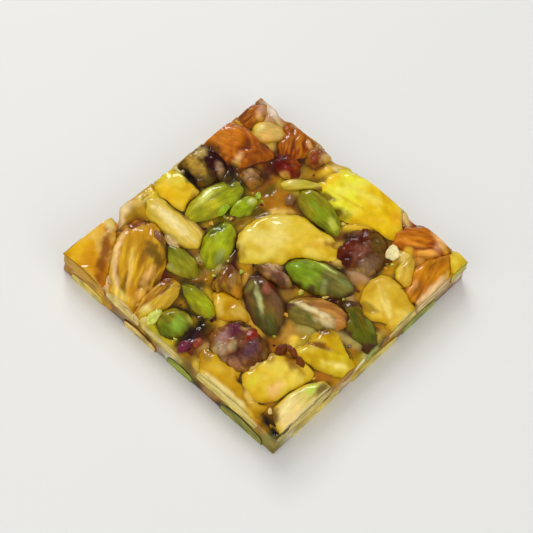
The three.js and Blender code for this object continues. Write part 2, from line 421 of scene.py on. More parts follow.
ALMOND_MARKS = {
    # almond_01's pale cream marks along its upper-left rim are its pale rim with a painted highlight on it,
    # and its pale streaks along the ridges are painted highlights
    "almond_01": (
        (-27.4, 18.2, 50, 9, 1.5, "f4cfa8", 0.9, 0.1), (-20.6, 23.9, 24, 9.5, 1.4, "f4cfa8", 0.9, 0.1),
        (-22.4, 18.5, 38, 10, 1.1, "f8cc70", 0.8, 0.1), (-25.4, 16, 36, 8, 1, "f0c070", 0.7, 0.08),
        (-24.4, 20.6, 42, 8, 0.9, "a85c1c", 0.6, -0.1), (-15.8, 22.2, -20, 9, 6.4, "c89008", 0.9, 0),
        (-17.2, 16.8, 60, 6, 3, "5c4404", 0.8, -0.15), (-22.2, 13.8, 20, 5, 2.2, "f8c078", 0.7, 0.15),
        (-27, 13.6, 30, 5, 2, "c47c10", 0.6, 0), (-14.4, 25, -20, 7, 2.6, "803c04", 0.95, -0.5),
        (-29.2, 18.4, 80, 6, 2, "f0c880", 0.9, 0.05), (-24.2, 21.4, 38, 7, 1.5, "f8d09c", 0.9, 0.1),
        (-29.3, 14.8, 90, 5, 2.2, "f0d474", 0.9, 0.05), (-26.1, 11.9, 10, 6, 2.2, "f0b860", 0.9, 0.3)),
    "almond_02": (
        (24.2, -18.6, -65, 7, 1.5, "ec9830", 0.7, 0.1), (24.8, -22.8, -42, 7, 1.8, "f8b45c", 0.9, 0.15),
        (28.2, -23.8, 30, 4, 1.6, "eca888", 0.6, 0.05), (29.4, -24.2, 80, 6, 1.8, "f0b87c", 0.9, 0),
        (21.9, -20.4, 30, 3.4, 2.4, "e8c44c", 0.9, 0.1)),
    "almond_03": (
        (13.9, 22, 25, 3.8, 2, "f0c08c", 0.9, 0.15), (17.5, 19.8, 10, 8, 3, "8c4404", 0.6, 0),
        (14.6, 28.4, 0, 6, 3, "cc8020", 0.5, 0), (11.6, 20.8, 60, 4.4, 2.6, "2c0c04", 0.95, -0.3),
        (12.2, 27.6, 80, 5.6, 2.6, "583004", 0.9, -0.2)),
    "almond_04": (
        (20, -29.7, 1, 19, 1.3, "f4cca4", 0.9, 0), (16.2, -26.6, 10, 4, 1.4, "e8a870", 0.6, 0.08),
        (24.5, -27, -15, 7, 1.8, "cc7808", 0.6, 0), (25.4, -29.7, 0, 5, 1.4, "e4b870", 0.8, 0),
        (18.6, -28.6, 10, 8, 1.6, "b06408", 0.5, 0)),
    "almond_05": (
        (-7.4, 3.3, 30, 5.5, 1.7, "581404", 0.9, -0.1), (-9.4, 1.6, 35, 6, 2, "9c7458", 0.5, 0),
        (-11.4, -1.4, 20, 4, 2.4, "c08018", 0.6, 0), (-9.6, 3, 20, 6, 2.4, "6c3410", 0.8, 0)),
    "almond_06": (
        (-26.2, 11.7, 8, 7, 2, "f4c084", 0.9, 0.15), (-24.6, 9.9, 5, 9, 0.9, "a45c10", 0.6, -0.08),
        (-28.9, 8.1, 30, 5, 2.4, "f0dc90", 0.9, 0.05), (-20.2, 10.8, 0, 4, 2.4, "7c3c04", 0.9, -0.1)),
    "almond_07": (
        # almond_07's small pink mark is a painted highlight
        (28.4, 13.8, 60, 2.8, 1.4, "f4bca0", 0.9, 0.1), (26.5, 19.2, 60, 5, 3, "9c5010", 0.8, 0)),
    "almond_08": (
        (28.4, 27.6, 30, 5, 3.2, "cc9890", 0.9, 0), (25.4, 25.9, 60, 4, 2.4, "ecb884", 0.9, 0.1)),
}
ALMOND_FLESH = "ecd29c"
RIDGE = 0.15         # height of an almond's ridges, in millimetres
FINE_RIDGE = 0.05    # and of the finer ones between them


def almond_skin(look, spot, share, side, offset, seed):
    """Bent ridges with fine ones between, painted shade in the grooves and a painted highlight on the crests.
    """
    if look[4]:
        share, side = side, share
    bend = 0.3 * grainy(share * 2, side, seed, 1)
    ridge = 1 - 2.6 * abs(grainy(share * 1.1, (side + bend) * 3.6, seed, 1))
    fine = grainy(share * 3, side * 11, seed + 7, 1)
    crest_highlight = ease(0.1, 0.95, ridge)
    colour = two_toned(look, offset, spot, seed)
    # painted shade in the grooves, then a painted highlight on the crests
    colour = (colour * 0.42).lerp(colour, ease(-0.7, 0.3, ridge))
    colour = colour.lerp(linear(look[3]), 0.7 * crest_highlight * ease(-0.3, 0.6, fine + 0.4 * ridge))
    return RIDGE * ridge + FINE_RIDGE * fine, colour


almond_finish = glazed("almond skin", 0.3, 0.9, 0.1, ripple_scale=420, ripple_height=0.2,
                       texture_height=0.5, dullest=0.45)
for name, look in ALMONDS.items():
    dress_nut(name, look, ALMOND_MARKS.get(name, ()), almond_skin, ALMOND_FLESH, almond_finish,
              stretch=5)

# Cashews: peeled, smooth and waxy, stained yellow by the syrup that also lies deeper in their
# hollows. A look is two colours and their direction.
CASHEWS = {
    "cashew_01": ("ead36e", "e6c63d", -50),
    "cashew_02": ("f1ec41", "edc80d", -70),
    "cashew_03": ("e5bf19", "dfcb33", 60),
    "cashew_04": ("e5c132", "edd155", -30),
    "cashew_05": ("cc9d02", "c49701", -90),
    "cashew_06": ("d6ba16", "cea80a", 80),
    "cashew_07": ("e5c349", "d9b22f", 10),
    "cashew_08": ("c19202", "d5a704", 90),
    "cashew_09": ("e8b001", "d39201", -60),
    "cashew_10": ("e6c945", "d9c139", 0),
    "lower_cashew_01": ("d8ac2b", "b88817", 90),
    "lower_cashew_02": ("c8b045", "a88828", 0),
    "lower_cashew_03": ("dcc861", "b49433", 0),
    "lower_cashew_04": ("d8b028", "c89c19", 90),
    "lower_cashew_05": ("e6c640", "dcb42b", 0),
    "lower_cashew_06": ("e8cc49", "deb82e", 60),
}
CASHEW_MARKS = {
    "cashew_01": (
        (12.2, -7.6, -40, 4.5, 2, "a86c04", 0.85, -0.25), (9.2, -5.6, -55, 7, 2.2, "dca81c", 0.6, -0.1),
        (11.8, 5.4, -50, 8, 1.6, "c8a434", 0.6, -0.1), (3.4, 2.4, -40, 9, 4, "f4dc8c", 0.5, 0.1),
        (13.8, -3, -80, 5.5, 2, "a88c20", 0.8, -0.2), (-4.6, 5.3, 34, 6.4, 2.3, "4c2808", 0.95, -0.5),
        (10, -10.6, -60, 3.6, 1.8, "f4d884", 0.7, 0.1), (7.2, 9.4, -20, 7, 2.2, "604804", 0.95, -0.5),
        (-3.6, 4.3, 40, 4, 1.8, "a07c1c", 0.7, -0.1)),
    "cashew_02": (
        (25.5, 5, 20, 8, 4.5, "f4bc10", 0.7, 0), (23.2, -3.2, -82, 12, 0.7, "c89c14", 0.5, -0.1),
        (26.6, -3, -80, 9, 2.6, "f0e464", 0.6, 0.08), (22.6, -9.6, -60, 7, 3, "dcac04", 0.5, 0),
        (27, -12.5, 30, 5, 3, "f8b418", 0.6, 0), (19.8, -2.8, -80, 6, 2.2, "6c5404", 0.9, -0.25),
        (22.8, 6.4, -40, 5, 2.4, "7c5404", 0.9, -0.2), (20.8, 1.8, -80, 5, 2, "7c6404", 0.9, -0.2)),
    "cashew_03": (
        (-2.4, 20.8, 28, 8, 1.5, "946408", 0.8, -0.15), (-3.4, 26.5, 80, 6, 3.4, "f4c004", 0.5, 0),
        (2.2, 25.2, 85, 10, 2.2, "38280c", 0.95, -0.35)),
    "cashew_04": (
        (-22.8, -23, 20, 5, 3, "f4c488", 0.8, 0.1), (-24.4, -18.5, 10, 4, 2, "dcd838", 0.6, 0),
        (-17.5, -17.2, 20, 5, 2.2, "b0841c", 0.8, -0.1), (-15.4, -21.2, 70, 6, 2.8, "8c5404", 0.85, -0.25)),
    "cashew_05": (
        # cashew_05's small pale mark at (-27.6, -21) is a painted highlight
        (-26.3, -16.4, 80, 2.9, 1.2, "5c2c04", 1, -0.35), (-27.6, -21, 0, 2.2, 1.6, "f8d488", 0.9, 0.1),
        (-30, -16, 90, 19, 1.2, "f4e4ac", 0.8, 0), (-27.6, -11, 60, 6, 2.4, "e4bc14", 0.5, 0),
        (-26.4, -7.8, 20, 4.4, 2.4, "9c7410", 0.8, -0.1), (-29.2, -27.4, 75, 6, 2.2, "1c1004", 0.95, -0.2)),
    "cashew_06": (
        # cashew_06's pale mark at (-9.4, -28) is a painted highlight
        (-8.4, -22.7, -68, 6.4, 1.5, "804c08", 0.95, -0.5), (-9.4, -28, -62, 5, 1.7, "fcea9c", 0.8, 0.15),
        (-12, -20.2, -60, 5, 1.8, "f0e060", 0.6, 0.1), (-6.6, -25.6, -70, 5, 1.4, "d8a808", 0.6, -0.1),
        (-5, -21, -70, 4.6, 2.2, "704804", 0.9, -0.2)),
    "cashew_07": (
        (8.4, -26, 55, 10, 1.7, "f8e08c", 0.8, 0.12), (6.4, -27.6, 60, 7, 1, "d4a828", 0.6, -0.12),
        (11.2, -22.6, 50, 8, 1, "d8b03c", 0.5, -0.12), (5.7, -23.2, -80, 5, 2.2, "a07c08", 0.85, -0.25)),
    "cashew_09": (
        (-25, 24, 36, 17, 2.4, "8c4c04", 0.95, -0.15), (-28.2, 28.6, 20, 6, 3, "ecc01c", 0.5, 0),
        (-18.4, 29.2, 60, 4, 3, "f0d8a4", 0.9, 0)),
}
CASHEW_FLESH = "ecd78c"
CASHEW_LUMP = 0.28    # heights of a cashew's lumps, dents and pores, in millimetres
CASHEW_DENT = 0.14
CASHEW_PORE = 0.04


def cashew_skin(look, spot, share, side, offset, seed):
    """Soft lumps with painted light on their tops, and more syrup lying in the hollows."""
    lumps = grainy(spot[0], spot[1], spot[2] + seed, 3.6)
    dents = grainy(spot[0], spot[1], spot[2] - seed, 1.8)
    fine = grainy(spot[0], spot[1], spot[2] + seed, 0.8)
    colour = two_toned(look, offset, spot, seed)
    hollow = ease(0.1, -0.55, lumps + 0.5 * dents)
    colour = colour.lerp(through_syrup(colour, 1.4), 0.9 * hollow)
    # painted light on the tops of the lumps
    colour = colour.lerp(linear("f6e294"), 0.3 * ease(0.0, 0.7, lumps + 0.5 * dents + 0.2 * fine))
    return CASHEW_LUMP * lumps + CASHEW_DENT * dents + CASHEW_PORE * fine, colour


cashew_finish = glazed("cashew", 0.08, 1.5, 0.2, ripple_scale=350, ripple_height=0.3,
                       texture_height=0.12, dullest=0.4)
for name, look in CASHEWS.items():
    dress_nut(name, look, CASHEW_MARKS.get(name, ()), cashew_skin, CASHEW_FLESH, cashew_finish)

# Pistachios: small green kernels, bright where bare and greyish under a film of syrup, with a thin
# purple skin left along their edges. A look is two colours, their direction and how much skin is left.
PISTACHIOS = {
    "pistachio_01": ("819918", "777035", -75, 0.35),
    "pistachio_02": ("765a21", "624416", 30, 0.5),
    "pistachio_03": ("bcb422", "989c0b", -20, 0.1),
    "pistachio_04": ("a0a702", "9ca304", 20, 0.15),
    "pistachio_05": ("807134", "c08745", 0, 0.3),
    "pistachio_06": ("747402", "8f8407", 60, 0.25),
    "pistachio_07": ("a5a207", "919207", 90, 0.2),
    "pistachio_08": ("83830d", "9b951d", -90, 0.3),
    "pistachio_09": ("7e8501", "958b06", 90, 0.3),
    "pistachio_10": ("5c5d03", "726105", 60, 0.5),
    "pistachio_11": ("94a805", "a5b710", 0, 0.1),
    "lower_pistachio_01": ("465212", "546014", 90, 0.4),
    "lower_pistachio_02": ("4c5211", "3e3a0e", 90, 0.5),
    "lower_pistachio_03": ("7c8430", "8a7430", 0, 0.4),
    "lower_pistachio_04": ("82a017", "98aa1f", 60, 0.3),
    "lower_pistachio_05": ("8ca019", "749014", 0, 0.3),
}
PISTACHIO_MARKS = {
    "pistachio_01": (
        # pistachio_01's pale line at (6.5, -9.9) is a painted highlight
        (6.5, -9.9, -82, 5.5, 0.9, "d4e490", 0.9, 0.1), (1.8, -14, 30, 4, 1.6, "a4ac7c", 0.6, 0.05),
        (6.4, -15.8, -70, 4, 1.6, "8c9c64", 0.6, 0.05), (2.6, -7.4, -75, 6, 2.6, "80a818", 0.6, 0.05)),
    "pistachio_02": (
        # pistachio_02's first mark is a painted highlight
        (-9.8, -6.4, 55, 7, 1.5, "bcc08c", 0.8, 0.08), (-12.2, -8.2, 55, 8, 1.6, "40481a", 0.7, -0.05),
        (-7, -8.8, 60, 12, 3, "74503c", 0.8, 0), (-12.2, -11.6, 55, 6, 3.4, "4c5424", 0.8, 0),
        (-6.6, -5.5, 30, 3, 2, "a45c4c", 0.7, 0.1), (-5, -5.6, 72, 5, 1.5, "5c1408", 0.9, -0.1),
        (-8.4, -2.7, 15, 4, 1.8, "8c8430", 0.7, 0)),
    "pistachio_03": (
        (-2.8, 13.4, 0, 4.6, 3.4, "3c4a04", 0.9, -0.25), (-2.8, 13.6, 0, 1.8, 1.2, "a4ac50", 0.4, 0.1),
        (1.4, 19.9, 10, 6.5, 2.2, "dce490", 0.8, 0.08), (-3, 17.2, 20, 4, 3.4, "8c9404", 0.6, 0),
        (5, 15, 60, 5, 2.4, "b4c82c", 0.5, 0), (8.4, 19.2, 60, 4.4, 2.6, "483408", 0.9, -0.25)),
    "pistachio_04": (
        (-7.6, 6.9, 20, 5, 1.6, "90986c", 0.6, 0), (-3.4, 10.4, 28, 7, 2.4, "b4c82c", 0.6, 0.05),
        (-4.4, 5.9, 32, 10, 1.4, "38101c", 0.9, 0), (-2.8, 12.4, 0, 4.6, 2.8, "3c4a04", 0.9, -0.3),
        (-3.2, 12.9, 0, 1.8, 1, "a4ac50", 0.3, 0.1)),
    "pistachio_05": (
        (-5.1, -16, 80, 2.4, 1.3, "4c5824", 0.7, -0.1), (-2.2, -22, 30, 5, 1.8, "cc8450", 0.7, 0.05),
        (-3.4, -15.6, -72, 11, 1.3, "f0dcb8", 0.9, 0.14), (-3.5, -19.4, -70, 4, 2, "dcc8a0", 0.8, 0.05),
        (-0.7, -17.4, -62, 11, 1.7, "9c5c28", 0.7, -0.05), (-5.4, -20.8, 20, 3, 1.6, "5c4820", 0.6, -0.1)),
    "pistachio_06": (
        (-26, 1.4, 20, 4.4, 2.6, "90c048", 0.6, 0.1), (-28.6, 2.4, 70, 4, 1.6, "507010", 0.6, 0),
        # pistachio_06's two near-black marks along its edges paint its shadow
        (-25.4, -1.4, 6, 8, 1.8, "180a10", 1, 0), (-22, 2, 100, 7, 1.5, "1c1408", 0.9, 0),
        (-23.2, 0.6, 60, 2.6, 1.4, "ccd498", 0.7, 0.05)),
    "pistachio_07": ((-18.6, 0.4, 80, 5, 2.2, "a4b810", 0.6, 0.05),),
    "pistachio_08": (
        (-17, 12.4, 95, 7, 1.5, "b8b084", 0.6, 0.05), (-14.8, 16.6, 20, 4, 2.4, "404c0c", 0.7, -0.1)),
    "pistachio_09": (
        (16.2, -4.5, 70, 4.5, 2.2, "ccd05c", 0.8, 0.05), (16.8, 1.2, 75, 7, 2, "84a404", 0.6, 0.05)),
    "pistachio_10": (
        (1.8, -22.6, 50, 5, 1.6, "34500c", 0.6, 0), (2.8, -26.4, 60, 4, 1.4, "7c8c3c", 0.6, 0.05)),
    # pistachio_11's pale mark is a painted highlight
    "pistachio_11": ((7.9, 12.2, -5, 3.4, 1.5, "dce4a8", 0.8, 0.08),),
}
PISTACHIO_FLESH = "a4b054"
PURPLE_SKIN = linear("482028")
KERNEL_WRINKLE = 0.1    # heights of a kernel's wrinkles and lumps, in millimetres
KERNEL_LUMP = 0.16
HUSK = 0.04             # thickness of the purple skin


def pistachio_skin(look, spot, share, side, offset, seed):
    """A green kernel with painted shade in its wrinkles, with purple skin from its rim inwards."""
    wrinkle = grainy(share * 2.2, side * 3.6, seed, 1)
    lumps = grainy(spot[0], spot[1], spot[2] + seed, 2.1)
    colour = two_toned(look, offset, spot, seed)
    # painted shade in the wrinkles and a little painted light on the raised skin between
    colour = (colour * 0.66).lerp(colour * 1.08, ease(-0.5, 0.4, wrinkle))
    edge = max(abs(side), abs(share)) + 0.3 * grainy(spot[0], spot[1], seed + 3, 2.0)
    husk = ease(1.12 - look[3], 1.3 - look[3], edge)
    colour = colour.lerp(PURPLE_SKIN, 0.85 * husk)
    return KERNEL_WRINKLE * wrinkle + KERNEL_LUMP * lumps + HUSK * husk, colour


pistachio_finish = glazed("pistachio", 0.26, 0.8, 0.1, ripple_scale=450, ripple_height=0.25,
                          texture_height=0.35, dullest=0.45)
for name, look in PISTACHIOS.items():
    dress_nut(name, look, PISTACHIO_MARKS.get(name, ()), pistachio_skin, PISTACHIO_FLESH, pistachio_finish,
              stretch=3)

# Pistachios still in their skins: wrinkled and lumpy, mauve where the syrup films them over, maroon
# and red where it is clear. A look is two colours and their direction.
SKINS = {
    "skin_01": ("5f1c03", "73410d", -80),
    "skin_02": ("955e33", "714120", -30),
    "skin_03": ("7a5813", "380b03", -20),
    "skin_04": ("922401", "822b01", 0),
    "skin_05": ("bc7a2f", "ad692a", -40),
    "skin_06": ("986730", "7a4b20", 0),
    "skin_07": ("9b7153", "774534", -60),
}
SKIN_MARKS = {
    "skin_01": (
        (15, -13, 0, 5, 3.2, "945850", 0.6, 0.15), (14, -16.6, 0, 6, 3, "806450", 0.7, 0),
        (19, -14.4, 60, 6, 3.2, "54480c", 0.7, 0), (11.6, -12.2, 50, 5, 2.4, "340604", 0.8, -0.1),
        (16.2, -9.3, 0, 3.4, 1.7, "2c0c06", 0.8, -0.15), (13.8, -10.6, 20, 3.4, 1.8, "7c2c14", 0.5, 0.1),
        (10.8, -16, -30, 5, 2.8, "a07c50", 0.8, 0)),
    "skin_02": (
        # skin_02's first two pale mauve marks are painted highlights
        (-24, -8.6, 0, 4.4, 3.4, "b8a090", 0.7, 0.4), (-21.2, -7, 0, 4.4, 2.8, "a87c84", 0.8, 0.35),
        (-18.4, -7.8, 60, 4.6, 3.4, "58183c", 0.9, 0.35), (-16.6, -11, 0, 3.8, 2.4, "90180c", 0.9, 0.3),
        (-19.8, -13.2, 0, 6, 3.4, "5c3850", 0.8, 0.35), (-22.6, -11.9, 20, 4.8, 2.4, "481414", 0.8, -0.15),
        (-24.4, -13.2, 60, 3.4, 2.4, "a06c58", 0.7, 0.1),
        (-16.8, -14.6, 30, 4.4, 2.4, "704410", 0.8, -0.15), (-21.9, -10.2, 10, 3, 1.8, "bca484", 0.8, 0.05),
        (-16.9, -8.9, -30, 3, 1.2, "c89c60", 0.7, 0)),
    "skin_03": (
        (2.6, 25.6, 80, 10, 2, "160606", 1, -0.3), (5.7, 27, 85, 7, 2.8, "b8923c", 0.9, 0.15),
        (9.4, 26.2, 80, 6.4, 3.6, "300808", 0.95, -0.1), (8.9, 22.6, 60, 4, 2, "a88470", 0.8, 0.15),
        (5.4, 22.6, 60, 4, 2, "5c5420", 0.6, 0), (8.8, 28.8, 20, 3.8, 2.8, "c8ac70", 0.8, 0.1)),
    "skin_04": (
        (20.4, 15.6, 40, 5, 3, "4c0204", 0.8, 0), (22.2, 12.4, 60, 5, 2.2, "944410", 0.7, 0.1),
        (19.4, 12.8, 30, 3, 2, "8c1c14", 0.7, 0.15), (18, 11.8, -50, 3.6, 2.4, "c89c64", 0.9, 0.1)),
    "skin_05": (
        (26.4, 10.4, 20, 4, 2.4, "7c1c0c", 0.7, 0.1), (28.9, 8.6, 0, 4, 2.6, "e0bc90", 0.9, 0)),
    "skin_06": (
        (13, 17.6, 20, 3, 2, "a88464", 0.8, 0.1), (12, 14.6, 60, 3, 1.8, "906c40", 0.6, 0.05)),
    "skin_07": (
        (-1.4, -2.2, 80, 4, 1.5, "c8a48c", 0.85, 0.12), (-3.9, -1, 80, 4, 1.7, "5c3810", 0.85, -0.15),
        (-1.3, -6.8, 60, 3, 1.8, "ac8c7c", 0.8, 0.12)),
}
SKIN_FLESH = "8c9448"
LUMP = 4.2                 # size of the lumps that the skin is drawn into, in millimetres
FILM = linear("a08888")    # the syrup's pale film over some of them
FOLD = 0.2                 # heights of its long folds and of the slow swelling under them
SWELLING = 0.24
CREASE = 0.24              # depth of the creases between the lumps
noise.seed_set(5)          # those creases bend by this seed


def wrinkled_skin(look, spot, share, side, offset, seed):
    """Lumps of two tones with painted shade in the creases between, under folds that run along the nut with
    painted shade in their hollows.
    """
    bent = Vector(spot) + 1.6 * noise.noise_vector(Vector(spot) / 3 + Vector((seed, 0, 0)))
    reaches, centres = noise.voronoi(bent / LUMP + Vector((seed, 0, 0)))
    crease = ease(0.22, 0.0, reaches[1] - reaches[0])
    folds = 1 - 2.4 * abs(grainy(share * 1.3, side * 2.6 + 0.4 * grainy(spot[0], spot[1], seed, 2), seed, 1))
    film = noise.noise(centres[0] * 1.7)
    colour = two_toned(look, offset, spot, seed)
    colour = colour.lerp(FILM, 0.35 * ease(0.0, 0.4, film)).lerp(colour * 0.6, ease(0.0, -0.4, film))
    # painted shade in the creases and the hollows of the folds, a little painted light on the folds' tops
    colour = colour * (1 - 0.45 * crease) * (0.7 + 0.38 * ease(-0.5, 0.8, folds))
    return FOLD * folds - CREASE * crease + SWELLING * grainy(spot[0], spot[1], seed, 3), colour


skin_finish = glazed("pistachio skin", 0.35, 0.7, 0.06, ripple_scale=500, ripple_height=0.25,
                     texture_height=0.5, dullest=0.55)
for name, look in SKINS.items():
    dress_nut(name, look, SKIN_MARKS.get(name, ()), wrinkled_skin, SKIN_FLESH, skin_finish,
              shine=0.55)

# Slices and slivers: pieces of nut that lie with their cut flesh up, cream to pale yellow, with a
# thread of brown skin left along their edges. A look is two colours and their direction.
SLICES = {
    "flesh_01": ("f2d599", "e2cf79", 0),
    "flesh_02": ("f3f75c", "e2f74a", 90),
    "flesh_03": ("dfc152", "e3c560", -90),
    "flesh_04": ("d9b264", "d5ae68", -60),
    "flesh_05": ("d9b041", "cda836", 30),
    "flesh_06": ("d4c05d", "c4b33e", -50),
    "flesh_07": ("b3c8f7", "acbdf7", 0),
}
SLICE_MARKS = {
    "flesh_01": (
        (-17.2, -28.2, -20, 4.2, 2.2, "c4dc58", 0.8, 0), (-24, -27.4, 20, 6, 2, "f8f0b4", 0.5, 0.05),
        (-29.4, -29, 60, 4.4, 1.6, "181004", 0.95, -0.2),
        (-27.2, -26.8, 50, 4.2, 2.3, "7c5808", 0.95, -0.1), (-15.7, -29.6, 0, 4.6, 2, "684a14", 0.9, -0.1)),
    "flesh_03": (
        (-8.6, 20.4, 88, 15, 2.4, "fcecc0", 0.7, 0.1), (-11.6, 18.4, 100, 8, 1.3, "b49c5c", 0.6, -0.05),
        (-5.6, 20.4, 92, 9, 1.7, "806010", 0.85, -0.2)),
    "flesh_04": (
        (24, 24.8, 30, 4, 2.6, "f4e4a4", 0.7, 0.1), (25.3, 26.2, 30, 4, 2.4, "f0c490", 0.9, 0.05),
        (22.8, 21.6, 40, 3.6, 2.4, "f4bc74", 0.7, 0.05)),
    "flesh_05": ((18.4, -21.2, 27, 8, 1.8, "f0dc84", 0.8, 0.1),),
    "flesh_06": (
        (17.4, 10.6, -40, 4, 2, "f0dca0", 0.8, 0.05), (22.2, 4.8, -50, 3.4, 1.8, "ecd88c", 0.7, 0.05)),
}
SLICE_FLESH = "ecd9a0"
BROWN_EDGE = linear("7c5414")
SLICE_LUMP = 0.14    # heights of a slice's lumps and fibres, in millimetres
FIBRE = 0.03


def sliced_flesh(look, spot, share, side, offset, seed):
    """Faint fibres along the slice, and a thread of skin round it."""
    lumps = grainy(spot[0], spot[1], spot[2] + seed, 2.6)
    fibre = grainy(share * 1.5, side * 7, seed, 1)
    edge = ease(0.8, 0.98, max(abs(side), abs(share) ** 3) + 0.1 * grainy(share * 4, 0, seed, 1))
    colour = two_toned(look, offset, spot, seed)
    colour = colour.lerp(colour * 0.8, ease(0.0, 0.6, fibre))
    colour = colour.lerp(BROWN_EDGE, 0.8 * edge)
    return SLICE_LUMP * lumps + FIBRE * fibre, colour


flesh_finish = glazed("nut flesh", 0.15, 0.9, 0.18, ripple_scale=420, ripple_height=0.25,
                      texture_height=0.2, dullest=0.45)
for name, look in SLICES.items():
    dress_nut(name, look, SLICE_MARKS.get(name, ()), sliced_flesh, SLICE_FLESH, flesh_finish,
              stretch=3)

# The syrup: sugar boiled to amber, poured round the nuts, rolled level and set like glass. It climbs
# on some nuts and shrinks from others, and shows each one through it, deeper and browner the further
# down it looks. Where nuts crowd together its colour is painted almost black, as shade in the deep gaps.
SYRUP_CELLS = 210
SYRUP_LEVEL = 6.5        # height between the nuts, in millimetres as all of these are
SYRUP_SIDE = 30.25       # half its side, and a point further out than this before it is moved is
ON_SIDE = 30.24          # on one of its sides
ON_TOP = 0.9             # above this share of its height a point is on its top,
ON_FOOT = 0.02           # and below this one on its underside
SIDE_ROWS = 12           # rows of cells on its sides, and how smooth those are
SIDE_POLISH = 0.25
UNDERSIDE = 0.1          # its underside is that much above the nuts' flat faces
CLIMB = 0.704            # how far it may rise on a nut or sink beside it
CLIMB_WIDTH = 0.45       # how far from the nut that reaches
OPEN_RISE = 0.2          # how much higher it stands away from nuts
CUT_REACH = 1.5          # this near to the sides it stays under the nuts, so that their cut edges show,
CUT_NUT = 0.4            # if they stand no further than this below its level,
CUT_GAP = 0.3            # by this much
CROWDED = 2.4            # nuts this near on all sides make a gap with painted shade
SEEN_DEPTH = 3           # it is clear for this far, and tints what lies deeper
BEYOND = linear("e8d8b0")     # what shows through where no nut lies behind
DEEPEST = linear("1c1004")    # what it adds to that where it is thick
SIDE_TINTING = 0.3       # on its sides it tints by this share, and takes painted gap shade of this amount
SIDE_GAP_SHADE = 0.05
BLUR_ROUNDS = 3          # how often each point's colour is mixed with its neighbours'
BROKEN_EDGES = (         # where the slab's edge chipped off: place on a side, width and depth
    (-18.0, 30, 6.4, 2.4), (30, 7.6, 6, 1.4), (30, 23.4, 4, 1.0), (30, -15.6, 4, 1.0), (-30, -5.6, 3, 0.5))
BROKEN_REACH = 3.5       # how far in from the edge the chips pull the syrup
# Marks of thicker or thinner syrup and of crumbs below the surface, and dark marks in the narrow gaps
# between nuts that are painted shade as well as deeper syrup: first on the two near sides, -X and -Y,
# where a mark's place is its place along the side and its height, then on top.
SIDE_STAINS = (
    ((24.0, 1.6, 0, 8, 3, "dcb488", 0.8, 0), (18.4, 3.4, 90, 6, 2, "a8702c", 0.7, 0),
     (12.6, 1.8, 0, 6, 3, "a89870", 0.7, 0), (5.6, 2.4, 90, 5, 2.6, "5c3c08", 0.9, 0),
     (-0.6, 1.8, 0, 5, 3.4, "e0dcc4", 0.8, 0), (-6.2, 3.5, 90, 7, 4, "6c5414", 0.8, 0),
     (-12.4, 2.0, 0, 5, 3, "b09458", 0.7, 0), (-28.4, 3.0, 90, 8, 4, "8c8434", 0.9, 0)),
    ((-28.2, 3.2, 90, 8, 4, "94883c", 0.9, 0), (-25.6, 1.6, 0, 4, 3, "d4ccb0", 0.8, 0),
     (-14.6, 4.0, 90, 7, 2.4, "543408", 0.9, 0), (-10.2, 4.5, 90, 5, 3.4, "b8883c", 0.8, 0),
     (-8.4, 2.0, 0, 5, 3, "dcc49c", 0.8, 0), (4.6, 5.0, 80, 5, 2, "6c4418", 0.9, 0),
     (9.6, 1.8, 20, 4, 2.6, "8c6834", 0.8, 0), (23.6, 2.4, 0, 7, 3.4, "b8a07c", 0.8, 0),
     (28.4, 2.2, 0, 4, 3, "dcd4b8", 0.8, 0)))
